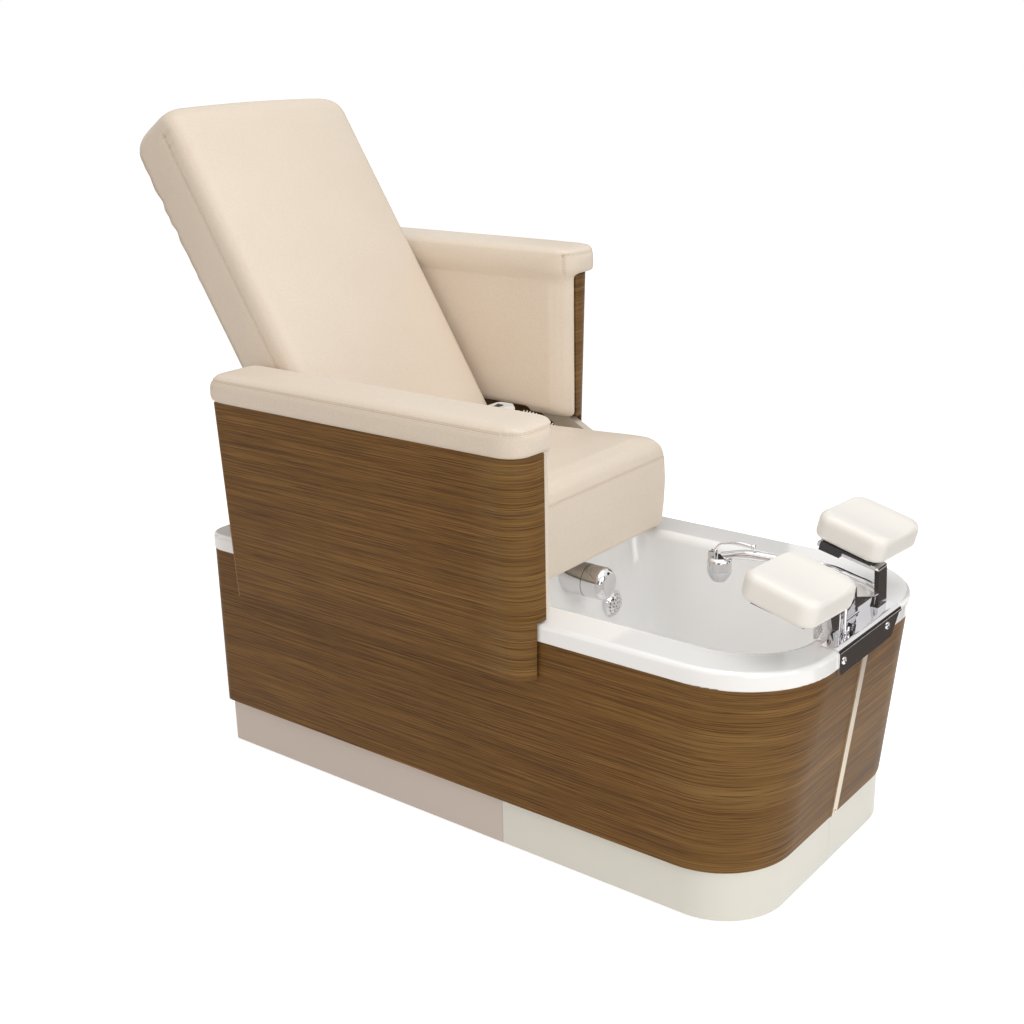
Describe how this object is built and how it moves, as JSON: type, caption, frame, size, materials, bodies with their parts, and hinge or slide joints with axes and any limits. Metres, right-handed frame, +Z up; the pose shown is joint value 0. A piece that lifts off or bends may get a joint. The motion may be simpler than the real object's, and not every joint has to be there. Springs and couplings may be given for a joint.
{
  "type": "pedicure spa chair",
  "caption": "Reclining upholstered salon seat with gliding padded arms on a veneered base with a moulded foot basin, spout, mixer knob, jet and sliding footrests.",
  "frame": {"origin": "on the floor, at the centre of the plinth, under the middle levelling foot", "axes": "+X forward to the basin and footrests, +Y to the sitter's left, +Z up"},
  "size_m": [1.6331, 0.776, 1.3566],
  "materials": {
    "frame_steel": "satin powder coat",
    "black_rubber": "matt",
    "plinth_cream": "satin",
    "veneer": "satin lacquer over walnut veneer",
    "satin_trim": "satin anodised",
    "chromed_steel": "polished",
    "white_acrylic": "gloss",
    "grey_plastic": "matt",
    "black_plastic": "matt",
    "frosted_plastic": "frosted",
    "cream_moulding": "satin skin of integral foam",
    "carriage_board": "cream laminate on board",
    "plywood": "raw",
    "cream_upholstery": "satin synthetic leather over foam",
    "white_gloss": "gloss",
    "white_cable": "satin sheath"
  },
  "bodies": {
    "base": {"base_frame": "frame_steel", "levelling_feet": "black_rubber", "plinth_rear": "plinth_cream", "plinth_front_right": "plinth_cream", "plinth_front_left": "plinth_cream", "skirt_right": "veneer", "skirt_left": "veneer", "front_trim": "satin_trim", "front_screws": "chromed_steel", "tub": "white_acrylic", "drain_waste": "chromed_steel", "trap_pipe": "grey_plastic", "supply_pipes": "grey_plastic", "mixer_body": "chromed_steel", "jet_cover": "chromed_steel", "jet_motor": "black_plastic", "spout_base": "chromed_steel", "footrest_bracket": "chromed_steel", "footrest_post_right": "chromed_steel", "footrest_post_left": "chromed_steel", "slide_rails": "frame_steel", "slide_actuator": "black_plastic", "control_box": "black_plastic", "mains_gland": "black_plastic"},
    "mixer_knob": {"mixer_knob": "chromed_steel"},
    "jet_impeller": {"jet_impeller": "grey_plastic"},
    "spout": {"spout_arm": "chromed_steel", "spout_shade": "frosted_plastic"},
    "spout_lever": {"spout_lever": "chromed_steel"},
    "drain_plug": {"drain_plug": "chromed_steel"},
    "footrest_right": {"footrest_plate_right": "frame_steel", "footrest_pad_right": "cream_moulding"},
    "footrest_left": {"footrest_plate_left": "frame_steel", "footrest_pad_left": "cream_moulding"},
    "carriage": {"carriage_plate": "carriage_board", "slide_blocks": "black_plastic", "slide_rod": "frame_steel", "seat_frame": "frame_steel", "seat_board": "plywood", "seat_cushion": "cream_upholstery", "hinge_pins": "frame_steel", "recline_actuator": "black_plastic", "arm_rail_right": "frame_steel", "arm_rail_left": "frame_steel", "handset_body": "white_gloss", "handset_cord": "white_cable", "cord_gland": "black_plastic"},
    "backrest": {"backrest_frame": "frame_steel", "backrest_cushion": "cream_upholstery"},
    "recline_rod": {"recline_rod": "frame_steel"},
    "arm_right": {"arm_shell_right": "veneer", "arm_pad_right": "cream_upholstery", "arm_cap_right": "cream_upholstery", "arm_slider_right": "frame_steel"},
    "arm_left": {"arm_shell_left": "veneer", "arm_pad_left": "cream_upholstery", "arm_cap_left": "cream_upholstery", "arm_slider_left": "frame_steel"},
    "recline_rocker": {"recline_rocker": "black_plastic"},
    "slide_rocker": {"slide_rocker": "black_plastic"}
  },
  "joints": [
    {"name": "seat_slide", "type": "slide", "parent": "base", "child": "carriage", "axis": [1, 0, 0], "range_m": [-0.06, 0.1]},
    {"name": "backrest_recline", "type": "hinge", "parent": "carriage", "child": "backrest", "pos_m": [-0.3955, 0, 0.6511], "axis": [0, 1, 0], "range_deg": [-18, 15]},
    {"name": "recline_rod_slide", "type": "slide", "parent": "carriage", "child": "recline_rod", "axis": [-1, 0, 0], "range_m": [-0.036, 0.03]},
    {"name": "arm_right_glide", "type": "slide", "parent": "carriage", "child": "arm_right", "axis": [-0.8847, 0, 0.4661], "range_m": [0, 0.4058]},
    {"name": "arm_left_glide", "type": "slide", "parent": "carriage", "child": "arm_left", "axis": [0.8847, 0, -0.4661], "range_m": [0, 0.4058]},
    {"name": "mixer_knob_turn", "type": "hinge", "parent": "base", "child": "mixer_knob", "pos_m": [0.13, 0.002, 0.444], "axis": [1, 0, 0], "range_deg": [-60, 60]},
    {"name": "jet_spin", "type": "hinge", "parent": "base", "child": "jet_impeller", "pos_m": [0.05, 0.122, 0.348], "axis": [1, 0, 0], "continuous": true},
    {"name": "spout_swivel", "type": "hinge", "parent": "base", "child": "spout", "pos_m": [0.656, 0.138, 0.492], "axis": [0, 0, 1], "range_deg": [-15, 25]},
    {"name": "spout_lever_tilt", "type": "hinge", "parent": "spout", "child": "spout_lever", "pos_m": [0.33, 0.098, 0.52], "axis": [0, 1, 0], "range_deg": [-25, 0]},
    {"name": "drain_plug_lift", "type": "slide", "parent": "base", "child": "drain_plug", "axis": [0, 0, 1], "range_m": [0, 0.008]},
    {"name": "footrest_right_slide", "type": "slide", "parent": "base", "child": "footrest_right", "axis": [0.9748, 0, -0.2233], "range_m": [-0.05, 0.01]},
    {"name": "footrest_left_slide", "type": "slide", "parent": "base", "child": "footrest_left", "axis": [0.9748, 0, -0.2233], "range_m": [-0.015, 0.045]},
    {"name": "recline_rocker_press", "type": "hinge", "parent": "carriage", "child": "recline_rocker", "pos_m": [-0.284, 0.164, 0.6995], "axis": [1, 0, 0], "range_deg": [-8, 8], "stiffness_Nm_per_rad": 0.05},
    {"name": "slide_rocker_press", "type": "hinge", "parent": "carriage", "child": "slide_rocker", "pos_m": [-0.284, 0.206, 0.6995], "axis": [1, 0, 0], "range_deg": [-8, 8], "stiffness_Nm_per_rad": 0.05}
  ],
  "couplings": [
    {"joint": "recline_rod_slide", "follows": "backrest_recline", "m_per_rad": 0.113}
  ]
}
